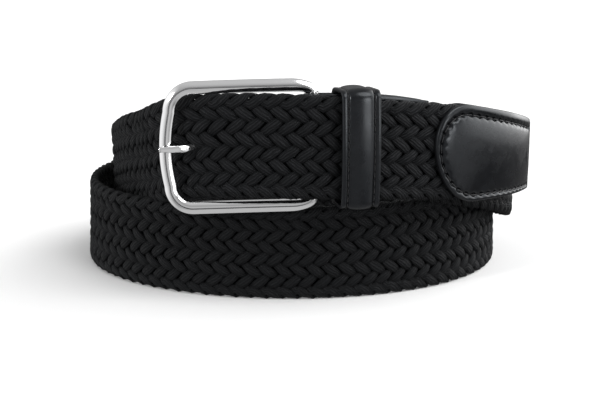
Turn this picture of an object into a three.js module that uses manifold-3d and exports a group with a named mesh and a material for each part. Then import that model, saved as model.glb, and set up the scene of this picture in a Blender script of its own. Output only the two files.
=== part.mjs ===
// A braided cord belt, buckled and stood on its edge in an oval coil of rather more than two turns.
// Millimetres, +Z up, buckle facing -Y. The origin is on the floor under the middle of the belt.
import * as THREE from "three";
import { mergeVertices } from "three/addons/utils/BufferGeometryUtils.js";
import Module from "manifold-3d";

// Strap and leather
const STRAP_WIDTH = 35;
const STRAP_THICK = 3.6;
const BRAID_ROWS = 8;
const ROW_GROOVE = 0.45; // depth of the groove between two rows of the braid
const EDGE_THICK = 1.8; // the strap's thickness at its two edges
const LEATHER = 1.2;
const GAP = 0.3;
const STRAP_STEP = 9; // length of strap between two sections
const TANGENT_REACH = 0.25; // degrees either side over which the strap's direction is taken

// Leather tip, measured from the free end
const TIP_END_HALF = 14.3;
const TIP_FULL_HALF = 17.8;
const TIP_CORNER = 2;
const TIP_TAPER = 46;
const TIP_LENGTH = 61.2;
const TIP_SKEW = 3.2; // how much nearer to the buckle the tip's top corner lies than its middle
const TIP_END_THICK = 3.4;
const TIP_FILLED = 38; // length over which the sheath thickens, up to the strap's end inside it
const TIP_EDGE = 0.9; // rounding of the sheath's edges
const TIP_MOUTH_SHARES = [0.25, 0.45, 0.62, 0.76, 0.87, 0.93, 0.97]; // sections of the rounded mouth
const TIP_MOUTH_CURVE = { along: 2.2, across: 2 }; // powers of the mouth's rounded outline
const POCKET_PAST = 4; // how far the strap's pocket is cut past the mouth

// Keeper loop, round both ends of the strap
const KEEPER_ANGLE = 76;
const KEEPER_LENGTH = 13.2;
const KEEPER_WALL = 1.2;
const KEEPER_CROWN = 0.5; // how far the padded middle stands above the loop's borders
const KEEPER_BORDER = 1.9;
const KEEPER_SHOULDER = 0.8; // share of the crown that stands up right beside a border
const KEEPER_CORNER = 3;
const KEEPER_WINDOW = { low: -1.4, high: 36.1, back: -10.2, front: 2.6 };

// Buckle frame, its outline measured from the left bar
const BAR_ANGLE = 805;
const BAR_RADIUS = 1.8;
const LEFT_BAR = { x: -41.7, y: -75.4 };
const FRAME_MID = { x: -13.3, z: 55.5, slope: 0.03 };
const FRAME_BOW = 1.5; // how far the rails bow out to the front
const FRAME_ARCH = 0.33; // how far the rails arch upwards
const FRAME_HALF = 20.5;
const RAIL_WIDTH = 4.1;
const RAIL_DEPTH = 3.2;
const LEFT_BULGE = 1.45; // how far the left bar bows out past its corners
const LEFT_CORNER = 7.8;
const RIGHT_CORNER = { along: 7, above: 2.5 };
const BAR_MORPH = 8; // length over which the bevelled rails turn into the round bar
const BAR_SPAN = 18.5; // height above and below the middle over which the bar is fully round
const BAR_STOPS = [8, 0, -8]; // heights of the bar's sections
const CORNER_ROUND = 0.6; // how round the section has become at the bar's corners
// The rail's section, as shares of half its width and half its depth: [outward, towards the front]
const RAIL_SECTION = [[1, 0.05], [0.55, 0.72], [0, 1], [-0.55, 0.72], [-1, 0.05]];
RAIL_SECTION.push([-1, -0.6], [-0.6, -1], [0.6, -1], [1, -0.6]);

// Prong, whose route runs from the bar, through the strap, to the left bar
const PRONG_HEIGHT = 2.7;
const PRONG_TIP_HEIGHT = 1.8;
const PRONG_DEPTH = 2.1;
const PRONG_EYE_WALL = 1.1;
const PRONG_EYE_HEIGHT = 4.4;
const PRONG_EYE_SIDES = 20;
const PRONG_EDGE = 0.4;
const PRONG_SECTIONS = 14;
const PRONG_TAPER_FROM = 0.8; // share of its length where the prong begins to narrow
const PRONG_ROUTE = [
  { x: 5.8, y: -77.2, z: 56.1 },
  { x: -4, y: -77.1, z: 55.9 },
  { x: -14, y: -76.9, z: 55.8 },
  { x: -24, y: -75.9, z: 55.7 },
  { x: -33, y: -75.2, z: 55.5 },
  { x: -38.5, y: -78, z: 55.3 },
  { x: -43.5, y: -78.6, z: 55.1 },
];

// Leather tab, folded round the bar and laid over both faces of the strap's end
const TAB_END_ANGLE = 783;
const TAB_SECTIONS = 4; // along each of the two layers
const TAB_FOLD_SECTIONS = 8; // round the bar
const TAB_SLOT = { before: 4.5, after: 4.2, halfHeight: 2.9, corner: 0.4 };
const STRAP_STOP = 4.8; // from the bar's axis to the strap's end

// The coil: the strap's low edge runs round this ellipse, clockwise seen from above.
// angle is in degrees from +X, offset is outwards from the ellipse, rise is above the floor,
// lean tips the strap's top edge outwards, in degrees, and width is the strap's own, which the
// leather tip draws in.
const COIL = { halfWidth: 81.5, halfDepth: 68 };
const STATIONS = [
  { angle: 20.5, offset: 14, rise: 29.2, lean: 0, width: 33.3 },
  { angle: 45, offset: 13.8, rise: 34, lean: 0, width: 33.3 },
  { angle: 68, offset: 13.7, rise: 37.3, lean: 0, width: 34 },
  { angle: 90, offset: 13.7, rise: 39, lean: 0, width: 35 },
  { angle: 104, offset: 12.6, rise: 38.8, lean: 0, width: 35 },
  { angle: 114, offset: 9, rise: 36.6, lean: 0, width: 35 },
  { angle: 124, offset: 3, rise: 32.1, lean: 0, width: 35 },
  { angle: 136, offset: -4, rise: 28.6, lean: 0, width: 35 },
  { angle: 158, offset: -10.2, rise: 22.8, lean: 0, width: 35 },
  { angle: 180, offset: -10.1, rise: 17.5, lean: 0, width: 35 },
  { angle: 225, offset: -7.8, rise: 9.5, lean: 0, width: 35 },
  { angle: 270, offset: -5.5, rise: 4, lean: 0, width: 35 },
  { angle: 315, offset: -2.4, rise: 0.6, lean: 0, width: 35 },
  { angle: 360, offset: 0.4, rise: 0, lean: -2, width: 35 },
  { angle: 405, offset: 0.4, rise: 0, lean: 2, width: 35 },
  { angle: 450, offset: 0, rise: 0, lean: 8.4, width: 35 },
  { angle: 495, offset: 0.2, rise: 0, lean: 5, width: 35 },
  { angle: 540, offset: 0.6, rise: 0, lean: -4, width: 35 },
  { angle: 585, offset: 1.3, rise: 0.6, lean: 0, width: 35 },
  { angle: 630, offset: 3, rise: 3.5, lean: 0, width: 35 },
  { angle: 675, offset: 6, rise: 8, lean: 0, width: 35 },
  { angle: 720, offset: 7.2, rise: 15, lean: 0, width: 35 },
  { angle: 765, offset: 7.8, rise: 30.2, lean: 0, width: 35 },
  { angle: 787, offset: 7.8, rise: 37, lean: 0, width: 35 },
  { angle: 798, offset: 7.8, rise: 38.4, lean: 0, width: 35 },
  { angle: 808, offset: 8, rise: 38.65, lean: 0, width: 35 },
];

const kernel = await Module();
kernel.setup();

const MATERIALS = {
  cord: new THREE.MeshStandardMaterial({ color: 0x17181b, roughness: 0.75, metalness: 0 }),
  leather: new THREE.MeshStandardMaterial({ color: 0x1d1e20, roughness: 0.42, metalness: 0 }),
  steel: new THREE.MeshStandardMaterial({ color: 0xd9dadc, roughness: 0.14, metalness: 1 }),
};

// One column of the station table at any angle, as a smooth curve through its rows.
function column(name, angle) {
  const last = STATIONS.length - 1;
  const slope = (k) => {
    const before = STATIONS[Math.max(k - 1, 0)];
    const after = STATIONS[Math.min(k + 1, last)];
    return (after[name] - before[name]) / (after.angle - before.angle);
  };
  let i = 0;
  while (i < last - 1 && angle > STATIONS[i + 1].angle) i += 1;
  const span = STATIONS[i + 1].angle - STATIONS[i].angle;
  const t = (angle - STATIONS[i].angle) / span;
  const [start, end] = [STATIONS[i][name], STATIONS[i + 1][name]];
  const ease = t * t * (3 - 2 * t);
  const bends = slope(i) * t * (1 - t) ** 2 - slope(i + 1) * t * t * (1 - t);
  return THREE.MathUtils.lerp(start, end, ease) + span * bends;
}

// The middle of the strap's low edge.
function lowEdge(angle) {
  const turn = THREE.MathUtils.degToRad(angle);
  const offset = column("offset", angle);
  return new THREE.Vector3(
    (COIL.halfWidth + offset) * Math.cos(turn),
    -(COIL.halfDepth + offset) * Math.sin(turn),
    Math.max(column("rise", angle), 0),
  );
}

// The strap's place and directions at an angle of the coil.
function strapFrame(angle) {
  const along = lowEdge(angle + TANGENT_REACH).sub(lowEdge(angle - TANGENT_REACH)).normalize();
  const up = new THREE.Vector3(0, 0, 1).addScaledVector(along, -along.z).normalize();
  const out = new THREE.Vector3().crossVectors(up, along);
  const lean = THREE.MathUtils.degToRad(column("lean", angle));
  const across = up.clone().multiplyScalar(Math.cos(lean)).addScaledVector(out, Math.sin(lean));
  return {
    origin: lowEdge(angle),
    along,
    across: across.multiplyScalar(column("width", angle) / STRAP_WIDTH),
    proud: out.clone().multiplyScalar(Math.cos(lean)).addScaledVector(up, -Math.sin(lean)),
  };
}

// The same place with its directions made level and upright.
function levelFrame(angle) {
  const { origin, along } = strapFrame(angle);
  const across = new THREE.Vector3(0, 0, 1);
  along.setZ(0).normalize();
  return { origin, along, across, proud: new THREE.Vector3().crossVectors(across, along) };
}

// A point given along, across and proud of a strap frame.
function inFrame(frame, along, across, proud) {
  return frame.origin
    .clone()
    .addScaledVector(frame.along, along)
    .addScaledVector(frame.across, across)
    .addScaledVector(frame.proud, proud);
}

// Length along the strap's low edge, from the free end, at each degree of the coil.
const FIRST_ANGLE = STATIONS[0].angle;
const LENGTHS = [0];
for (let angle = FIRST_ANGLE + 1; angle <= STATIONS.at(-1).angle; angle += 1)
  LENGTHS.push(LENGTHS.at(-1) + lowEdge(angle).distanceTo(lowEdge(angle - 1)));

function lengthAt(angle) {
  const whole = Math.min(Math.floor(angle - FIRST_ANGLE), LENGTHS.length - 2);
  return THREE.MathUtils.lerp(LENGTHS[whole], LENGTHS[whole + 1], angle - FIRST_ANGLE - whole);
}

function angleAt(length) {
  let i = 0;
  while (i < LENGTHS.length - 2 && length > LENGTHS[i + 1]) i += 1;
  return FIRST_ANGLE + i + (length - LENGTHS[i]) / (LENGTHS[i + 1] - LENGTHS[i]);
}

// A closed surface through rings of points: round on itself, or with a fan on each end.
function loft(rings, round = false) {
  const count = rings[0].length;
  const points = rings.flat();
  const index = [];
  const steps = round ? rings.length : rings.length - 1;
  for (let i = 0; i < steps; i += 1)
    for (let j = 0; j < count; j += 1) {
      const here = i * count;
      const next = ((i + 1) % rings.length) * count;
      const k = (j + 1) % count;
      index.push(here + j, here + k, next + k, here + j, next + k, next + j);
    }
  if (!round)
    [rings[0], rings.at(-1)].forEach((ring, end) => {
      const middle = ring.reduce((sum, p) => sum.add(p), new THREE.Vector3()).divideScalar(count);
      const start = end * (rings.length - 1) * count;
      points.push(middle);
      for (let j = 0; j < count; j += 1) {
        const edge = [start + j, start + ((j + 1) % count)];
        index.push(points.length - 1, ...(end ? edge : edge.reverse()));
      }
    });
  const geometry = new THREE.BufferGeometry().setFromPoints(points).setIndex(index);
  return volumeOf(points, index) < 0 ? turned(geometry) : geometry;
}

function volumeOf(points, index) {
  let sum = 0;
  for (let i = 0; i < index.length; i += 3) {
    const [a, b, c] = [points[index[i]], points[index[i + 1]], points[index[i + 2]]];
    sum += a.dot(new THREE.Vector3().crossVectors(b, c)) / 6;
  }
  return sum;
}

function turned(geometry) {
  const index = geometry.index.array;
  for (let i = 0; i < index.length; i += 3) [index[i], index[i + 1]] = [index[i + 1], index[i]];
  return geometry;
}

function solidOf(geometry) {
  const bare = geometry.clone();
  bare.deleteAttribute("normal");
  bare.deleteAttribute("uv");
  const merged = mergeVertices(bare, 1e-4);
  return new kernel.Manifold(
    new kernel.Mesh({
      numProp: 3,
      vertProperties: merged.attributes.position.array,
      triVerts: new Uint32Array(merged.index.array),
    }),
  );
}

function geometryOf(solid) {
  const mesh = solid.getMesh();
  return new THREE.BufferGeometry()
    .setAttribute("position", new THREE.BufferAttribute(mesh.vertProperties, 3))
    .setIndex(new THREE.BufferAttribute(mesh.triVerts, 1));
}

// A rectangle with rounded corners, as [across, proud] pairs round its own middle.
function roundedSection(halfAcross, halfProud, corner, steps = 2) {
  const section = [];
  [[1, 1], [-1, 1], [-1, -1], [1, -1]].forEach(([sideA, sideP], quarter) => {
    for (let i = 0; i <= steps; i += 1) {
      const turn = ((quarter + i / steps) * Math.PI) / 2;
      section.push([
        sideA * (halfAcross - corner) + corner * Math.cos(turn),
        sideP * (halfProud - corner) + corner * Math.sin(turn),
      ]);
    }
  });
  return section;
}

// The strap's section: rounded rows on both faces, thin level edges.
function strapSection(swell = 0) {
  const row = STRAP_WIDTH / BRAID_ROWS;
  const face = [];
  for (let half = 1; half < 2 * BRAID_ROWS; half += 1) {
    const crest = half % 2 === 1;
    face.push([(half * row) / 2, STRAP_THICK / 2 + swell - (crest ? 0 : ROW_GROOVE)]);
  }
  const edge = EDGE_THICK / 2 + swell;
  return [
    [-swell, -edge],
    [-swell, edge],
    ...face,
    [STRAP_WIDTH + swell, edge],
    [STRAP_WIDTH + swell, -edge],
    ...face.map(([across, proud]) => [across, -proud]).reverse(),
  ];
}

// Rings of the strap between two lengths. Its low edge stays level, so that it stands flat.
function strapRings(from, to, swell = 0) {
  const steps = Math.ceil((to - from) / STRAP_STEP);
  return Array.from({ length: steps + 1 }, (_, i) => {
    const frame = strapFrame(angleAt(from + ((to - from) * i) / steps));
    return strapSection(swell).map(([across, proud]) => {
      const point = inFrame(frame, 0, across, proud);
      if (across === 0) point.z = frame.origin.z;
      return point;
    });
  });
}

const BAR = strapFrame(BAR_ANGLE);
const BAR_LENGTH = lengthAt(BAR_ANGLE);
const STRAP_START = TIP_TAPER + 1;

// Half the tip's width at a length from its end: rounded corners, a taper, then the rounded mouth.
function tipHalf(length) {
  if (length < TIP_CORNER) {
    const rounding = Math.sqrt(TIP_CORNER ** 2 - (TIP_CORNER - length) ** 2);
    return TIP_END_HALF - TIP_CORNER + rounding;
  }
  if (length <= TIP_TAPER)
    return THREE.MathUtils.mapLinear(length, TIP_CORNER, TIP_TAPER, TIP_END_HALF, TIP_FULL_HALF);
  const mouth = (length - TIP_TAPER) / (TIP_LENGTH - TIP_TAPER);
  return TIP_FULL_HALF * (1 - mouth ** TIP_MOUTH_CURVE.along) ** (1 / TIP_MOUTH_CURVE.across);
}

// Sheath over the free end, its mouth round both faces of the strap.
function leatherTip() {
  const mouthHalf = STRAP_THICK / 2 + GAP + LEATHER;
  const lengths = [0, 0.3 * TIP_CORNER, TIP_CORNER];
  [0.25, 0.5, 0.75, 1].forEach((share) => lengths.push(share * TIP_TAPER));
  TIP_MOUTH_SHARES.forEach((share) => lengths.push(THREE.MathUtils.lerp(TIP_TAPER, TIP_LENGTH, share)));
  const rings = lengths.map((length) => {
    const frame = strapFrame(angleAt(length));
    const filled = Math.min(length / TIP_FILLED, 1);
    const halfProud = THREE.MathUtils.lerp(TIP_END_THICK / 2, mouthHalf, filled);
    const skew = TIP_SKEW / TIP_FULL_HALF;
    return roundedSection(tipHalf(length), halfProud, TIP_EDGE).map(([across, proud]) =>
      inFrame(frame, skew * across, STRAP_WIDTH / 2 + across, proud),
    );
  });
  const pocket = solidOf(loft(strapRings(STRAP_START - GAP, TIP_LENGTH + POCKET_PAST, GAP)));
  return geometryOf(solidOf(loft(rings)).subtract(pocket));
}

// Leather folded round the buckle's bar, slotted for the prong's eye.
function leatherTab() {
  const middle = STRAP_THICK / 2 + GAP + LEATHER / 2;
  const from = lengthAt(TAB_END_ANGLE);
  const frames = Array.from({ length: TAB_SECTIONS + 1 }, (_, i) =>
    strapFrame(angleAt(THREE.MathUtils.lerp(from, BAR_LENGTH, i / TAB_SECTIONS))),
  );
  const path = frames.map((frame) => ({ frame, turn: 0 }));
  for (let i = 1; i < TAB_FOLD_SECTIONS; i += 1)
    path.push({ frame: BAR, turn: (i / TAB_FOLD_SECTIONS) * Math.PI });
  frames.reverse().forEach((frame) => path.push({ frame, turn: Math.PI }));
  const rings = path.map(({ frame, turn }) =>
    [[-1, 0], [1, 0], [1, 1], [-1, 1]].map(([side, high]) => {
      const reach = middle + (side * LEATHER) / 2;
      return inFrame(frame, reach * Math.sin(turn), high * STRAP_WIDTH, reach * Math.cos(turn));
    }),
  );
  const slotEnds = [-TAB_SLOT.after, TAB_SLOT.before].map((along) =>
    roundedSection(TAB_SLOT.halfHeight, middle + LEATHER, TAB_SLOT.corner).map(([across, proud]) =>
      inFrame(BAR, along, STRAP_WIDTH / 2 + across, proud),
    ),
  );
  return geometryOf(solidOf(loft(rings)).subtract(solidOf(loft(slotEnds))));
}

// Padded loop that holds the tip strap against the buckle's end of the strap.
function keeperLoop() {
  const frame = levelFrame(KEEPER_ANGLE);
  const { low, high, back, front } = KEEPER_WINDOW;
  const half = KEEPER_LENGTH / 2;
  const profile = [
    [-half, 0],
    [-half, KEEPER_WALL],
    [-half + KEEPER_BORDER, KEEPER_WALL],
    [-half + 2 * KEEPER_BORDER, KEEPER_WALL + KEEPER_SHOULDER * KEEPER_CROWN],
    [0, KEEPER_WALL + KEEPER_CROWN],
    [half - 2 * KEEPER_BORDER, KEEPER_WALL + KEEPER_SHOULDER * KEEPER_CROWN],
    [half - KEEPER_BORDER, KEEPER_WALL],
    [half, KEEPER_WALL],
    [half, 0],
  ];
  const corners = 4;
  const middle = [(low + high) / 2, (back + front) / 2];
  const inner = roundedSection((high - low) / 2, (front - back) / 2, KEEPER_CORNER / 2, corners);
  const outer = roundedSection((high - low) / 2 + 1, (front - back) / 2 + 1, KEEPER_CORNER / 2 + 1, corners);
  const rings = inner.map(([across, proud], i) =>
    profile.map(([along, lift]) =>
      inFrame(
        frame,
        along,
        middle[0] + THREE.MathUtils.lerp(across, outer[i][0], lift),
        middle[1] + THREE.MathUtils.lerp(proud, outer[i][1], lift),
      ),
    ),
  );
  return loft(rings, true);
}

// The frame's middle line in its own plane: [from the left bar, above the middle].
function frameOutline(width) {
  const outline = [];
  const arc = (along, above, radius, from, to, steps) => {
    for (let i = 0; i <= steps; i += 1) {
      const turn = THREE.MathUtils.degToRad(THREE.MathUtils.lerp(from, to, i / steps));
      outline.push([along + radius.along * Math.cos(turn), above + radius.above * Math.sin(turn)]);
    }
  };
  const leftCorner = { along: LEFT_CORNER, above: LEFT_CORNER };
  const railEnd = FRAME_HALF - LEFT_CORNER;
  const railStops = (from, to) => [0.25, 0.5, 0.75].map((t) => THREE.MathUtils.lerp(from, to, t));
  const left = LEFT_BULGE + LEFT_CORNER;
  const right = width - RIGHT_CORNER.along;
  [-0.75, -0.4, 0, 0.4, 0.75].forEach((t) => outline.push([LEFT_BULGE * t * t, t * railEnd]));
  arc(left, railEnd, leftCorner, 180, 90, 6);
  railStops(left, right).forEach((along) => outline.push([along, FRAME_HALF]));
  arc(right, FRAME_HALF - RIGHT_CORNER.above, RIGHT_CORNER, 90, 0, 6);
  BAR_STOPS.forEach((above) => outline.push([width, above]));
  arc(right, RIGHT_CORNER.above - FRAME_HALF, RIGHT_CORNER, 0, -90, 6);
  railStops(right, left).forEach((along) => outline.push([along, -FRAME_HALF]));
  arc(left, -railEnd, leftCorner, -90, -180, 6);
  return outline;
}

// A bevelled rail that narrows into the round bar which carries the tab and the prong.
function buckleFrame() {
  const bar = inFrame(BAR, 0, STRAP_WIDTH / 2, 0);
  const width = bar.x - LEFT_BAR.x;
  const outline = frameOutline(width);
  const place = ([along, above]) => {
    const t = along / width;
    const x = LEFT_BAR.x + along;
    const bend = 4 * t * (1 - t);
    const y = THREE.MathUtils.lerp(LEFT_BAR.y, bar.y, t) - FRAME_BOW * bend;
    const z = FRAME_MID.z + FRAME_MID.slope * (x - FRAME_MID.x) + FRAME_ARCH * bend;
    const upright = new THREE.Vector3(BAR.across.x * t, BAR.across.y, BAR.across.z);
    return new THREE.Vector3(x, y, z).addScaledVector(upright, above);
  };
  const points = outline.map(place);
  const rings = points.map((point, i) => {
    const before = points.at(i - 1);
    const after = points[(i + 1) % points.length];
    const along = after.clone().sub(before).normalize();
    const front = new THREE.Vector3(0, -1, 0).addScaledVector(along, along.y).normalize();
    const outward = new THREE.Vector3().crossVectors(front, along).negate();
    const [alongFrame, above] = outline[i];
    const onBar = THREE.MathUtils.smoothstep(alongFrame, width - BAR_MORPH, width);
    const round = Math.abs(above) < BAR_SPAN ? onBar : CORNER_ROUND * onBar;
    return RAIL_SECTION.map(([side, face]) => {
      const turn = Math.atan2(face, side);
      const onRail = [(side * RAIL_WIDTH) / 2, (face * RAIL_DEPTH) / 2];
      const onRound = [BAR_RADIUS * Math.cos(turn), BAR_RADIUS * Math.sin(turn)];
      return point
        .clone()
        .addScaledVector(outward, THREE.MathUtils.lerp(onRail[0], onRound[0], round))
        .addScaledVector(front, THREE.MathUtils.lerp(onRail[1], onRound[1], round));
    });
  });
  return loft(rings, true);
}

// The prong's shank, swollen by a clearance when it cuts its way through the strap.
function prongShank(swell = 0) {
  const curve = new THREE.CatmullRomCurve3(PRONG_ROUTE.map(({ x, y, z }) => new THREE.Vector3(x, y, z)));
  const rings = Array.from({ length: PRONG_SECTIONS + 1 }, (_, i) => {
    const t = i / PRONG_SECTIONS;
    const point = curve.getPoint(t);
    const along = curve.getTangent(t);
    const front = new THREE.Vector3().crossVectors(along, new THREE.Vector3(0, 0, 1)).normalize().negate();
    const taper = THREE.MathUtils.smoothstep(t, PRONG_TAPER_FROM, 1);
    const halfHeight = THREE.MathUtils.lerp(PRONG_HEIGHT, PRONG_TIP_HEIGHT, taper) / 2;
    const section = roundedSection(halfHeight + swell, PRONG_DEPTH / 2 + swell, PRONG_EDGE + swell, 1);
    return section.map(([high, face]) =>
      point.clone().addScaledVector(front, face).add(new THREE.Vector3(0, 0, high)),
    );
  });
  return solidOf(loft(rings));
}

function buckleProng() {
  const inner = BAR_RADIUS + GAP;
  const outer = inner + PRONG_EYE_WALL;
  const half = PRONG_EYE_HEIGHT / 2;
  const rings = Array.from({ length: PRONG_EYE_SIDES }, (_, i) => {
    const turn = (2 * Math.PI * i) / PRONG_EYE_SIDES;
    return [[inner, -half], [outer, -half], [outer, half], [inner, half]].map(([radius, high]) =>
      inFrame(BAR, radius * Math.cos(turn), STRAP_WIDTH / 2 + high, radius * Math.sin(turn)),
    );
  });
  return geometryOf(prongShank().add(solidOf(loft(rings, true))));
}

function braidedStrap() {
  const strap = solidOf(loft(strapRings(STRAP_START, BAR_LENGTH - STRAP_STOP)));
  return geometryOf(strap.subtract(prongShank(GAP)));
}

const PIECES = [
  { name: "braided_strap", make: braidedStrap, material: MATERIALS.cord },
  { name: "leather_tip", make: leatherTip, material: MATERIALS.leather },
  { name: "leather_tab", make: leatherTab, material: MATERIALS.leather },
  { name: "keeper_loop", make: keeperLoop, material: MATERIALS.leather },
  { name: "buckle_frame", make: buckleFrame, material: MATERIALS.steel },
  { name: "buckle_prong", make: buckleProng, material: MATERIALS.steel },
];

const belt = new THREE.Group();
PIECES.forEach(({ name, make, material }) => {
  const geometry = make();
  geometry.computeVertexNormals();
  const mesh = new THREE.Mesh(geometry, material);
  mesh.name = name;
  belt.add(mesh);
});

const box = new THREE.Box3().setFromObject(belt);
const middle = box.getCenter(new THREE.Vector3());
belt.position.set(-middle.x, -middle.y, -box.min.z);

export default belt;
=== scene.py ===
import math

import bmesh
import bpy
import numpy as np
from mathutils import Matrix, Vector


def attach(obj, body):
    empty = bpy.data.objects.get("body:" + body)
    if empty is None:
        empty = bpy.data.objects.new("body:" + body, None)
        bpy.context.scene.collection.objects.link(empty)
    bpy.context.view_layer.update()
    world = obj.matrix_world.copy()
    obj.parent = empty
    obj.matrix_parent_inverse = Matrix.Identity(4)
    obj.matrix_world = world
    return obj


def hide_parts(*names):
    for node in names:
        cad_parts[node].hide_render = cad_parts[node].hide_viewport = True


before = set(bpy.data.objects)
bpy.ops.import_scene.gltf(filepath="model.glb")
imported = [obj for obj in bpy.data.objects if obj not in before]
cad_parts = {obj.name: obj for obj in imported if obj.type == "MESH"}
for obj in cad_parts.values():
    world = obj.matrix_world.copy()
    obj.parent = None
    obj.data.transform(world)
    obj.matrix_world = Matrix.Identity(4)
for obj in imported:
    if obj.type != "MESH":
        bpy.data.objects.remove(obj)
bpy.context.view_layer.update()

# A braided cord belt, buckled and stood on its edge in a coil. Sizes are in millimetres until a mesh is made.
MM = 0.001
COIL_AT = np.array([-4.1985, 5.7841, 0.0])  # the coil's own centre in the row frame

# Strap and leather
STRAP_WIDTH = 35.0
STRAP_THICK = 3.6
BRAID_ROWS = 8
LEATHER = 1.2
GAP = 0.3
STRAP_START = 47.0
STRAP_STOP = 4.8

# Cords of the braid
PITCHES = ((40, 5.85), (105, 5.75), (130, 5.35), (200, 5.35), (260, 5.5))  # [length, between two cords there]
CORDS = 2 * BRAID_ROWS + 1
CORD_WIDTH = 3.5
CORD_THICK = 1.9
CORD_NARROWING = 0.12  # how much narrower and thinner a cord is where it dips
CORD_SWING = 1.0  # how far a cord's middle stands from the strap's middle
CORD_SIDES = 12
CORD_SQUARENESS = 2.15
RINGS_PER_LINE = 3
BUNCHED_LINES = 1.92  # crossing lines between the last inner row and a cord's turn at the edge
TURN_LINES = 1.15  # crossing lines over which a cord folds round the edge
RISE_LINES = 1.5  # crossing lines over which it comes up from the edge
EDGE_PROUD = 0.15  # how far a turned cord stands out past the strap's edge
SWING_FLATNESS = 0.3  # how much flatter than a wave a cord lies on top and beneath
CORD_PIECES = 4
FIBRE_STEP = 37.0  # between one cord's fibres and the next cord's
WANDER = 0.13
WANDER_WAVES = (3.1, 7.3, 4.7, 9.1)  # two along the strap, then two across it
TWIST = 0.13  # of a cord about its length, in radians
TWIST_WAVE = 5.3
# Lengths between which the buckle presses the braid wider, and by how much at each edge
PRESSED = {"from": (92, 102), "to": (146, 158), "spread": 0.32}
SHADE_SHEET_THICK = 0.5  # a near-black sheet of painted shade inside the braid, seen between the cords
SHADE_SHEET_INSET = 1.7
SHADE_SHEET_STEP = 2.5
SHADE_SHEET_END = 1.0  # how much shorter it is than the cords at either end

# Leather tip, measured from the free end
TIP_END_HALF = 14.3
TIP_FULL_HALF = 17.8
TIP_CORNER = 2.0
TIP_TAPER = 46.0
TIP_LENGTH = 61.2
TIP_SKEW = 3.2
TIP_END_THICK = 3.4
TIP_FILLED = (-6.0, 38.0)  # lengths between which the strap's end fills it out
TIP_COUNTS = {"end": 36, "corner": 9, "side": 112, "mouth": 64}  # points along each part of half its outline
TIP_LEAST_CORNER = 0.5
TIP_MOUTH_CURVE = {"along": 2.2, "across": 2.0, "spacing": 0.8}
TIP_MOUTH_INSET = 0.6  # how much nearer to the edge the stitch line runs round the mouth
TIP_STITCH_INSET = 3.1
TIP_STITCH_PITCH = 3.7
TIP_STITCH_POINTS = 600
TIP_SEWN_FROM = 1.5  # where the row of stitches starts, past the stitch line at the end
TIP_PADDED_FROM = 0.5  # inset from which the padding and the groove count
TIP_PITTED_FROM = 1.5  # inset from which the needle holes count
TIP_PAINTED = 5  # rings of painted edge to either side of the seam
TIP_LOWER_FLAT = 0.55  # share by which the stitch line is flatter along the lower side
TIP_LOWER_FROM = (4, 12)  # distances below the middle between which it grows flatter
TIP_SEAM_FROM = (1.5, 3.5)  # lengths between which the stitch line's groove comes in
TIP_OPENS = (TIP_TAPER - 1, TIP_TAPER + 2)  # lengths between which the leaves part for the mouth
TIP_SEAM_DROP = {"end": 1.25, "mouth": 0.4}  # how far the stitch line sits below the middle
TIP_CROWN = 1.3  # how far the sheath swells between its stitches
SEAM = {"half_gap": 0.15, "depth": 0.12}  # between the leaves, where they are sewn
POCKET = {"side_gap": 0.1, "depth": 9.0, "narrowing": 0.9}

# Keeper loop
KEEPER_ANGLE = 76.0
KEEPER_LENGTH = 13.2
KEEPER_WINDOW = {"low": -1.4, "high": 36.1, "back": -10.2, "front": 2.6}
KEEPER_RADIUS = 1.8
KEEPER_STEP = 0.7  # between the rings of its straight sides
KEEPER_CORNER_STEPS = 9
KEEPER_STITCH_LINE = 4.5
KEEPER_STITCH_PITCH = 2.6
KEEPER_BOW = 1.1  # how far its long faces swell
KEEPER_BOW_REACH = 19.0  # from the middle of a long face to where it no longer swells

# Buckle frame
BAR_ANGLE = 805.0
BAR_RADIUS = 1.8
LEFT_BAR = {"x": -41.7, "y": -75.4}
FRAME_MID = {"x": -13.3, "z": 55.5, "slope": 0.03}
FRAME_BOW = 1.5
FRAME_ARCH = 0.33
FRAME_HALF = 20.4
RAIL_WIDTH = 4.4
RAIL_DEPTH = 3.2
LEFT_BULGE = 1.45
LEFT_CORNER = 7.8
RIGHT_CORNER = (7.0, 2.5)  # along the rail and above the bar
BAR_MORPH = 8.0
BAR_SPAN = 18.5
CORNER_ROUND = 0.6  # share of the round bar's section at the corners above and below it
FRAME_COUNTS = {"left": 25, "left_corner": 24, "rail": 20, "right_corner": 18, "bar": 24}

# Prong, from the bar, through the strap, to the left bar
PRONG_HEIGHT = 2.7
PRONG_TIP_HEIGHT = 1.8
PRONG_DEPTH = 2.1
PRONG_EYE_WALL = 1.1
PRONG_EYE_HEIGHT = 4.4
PRONG_TAPER_FROM = 0.8
PRONG_ROUNDING = {"from": 0.985, "share": 0.35}  # of its end
PRONG_RINGS = 90
PRONG_EYE_STEPS = 48
PRONG_EYE_BEVEL = 0.3
PRONG_ROUTE = (
    (5.8, -77.2, 56.1),
    (-4, -77.1, 55.9),
    (-14, -76.9, 55.8),
    (-24, -75.2, 55.7),
    (-30.8, -74.0, 55.5),
    (-36.2, -77.8, 55.3),
    (-43.5, -78.6, 55.1),
)
PRONG_HOLE = {"length": 144.5, "height": 18.0, "reach": 3.2, "push": 1.7, "core": 1.2}

# Leather tab round the buckle's bar
TAB_END_ANGLE = 783.0
TAB_SLOT = {"after": 4.2, "half_height": 2.9}
TAB_FOLD = 2.1  # how far from the bar's middle the fold starts
TAB_COUNTS = {"flat": 18, "fold": 25, "height": 14, "stitch_line": 60}
TAB_ROUNDING = {"width": 0.3, "segments": 3, "angle": 50}
TAB_STITCH_INSET = 2.2
TAB_STITCH_PITCH = 3.0

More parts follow.
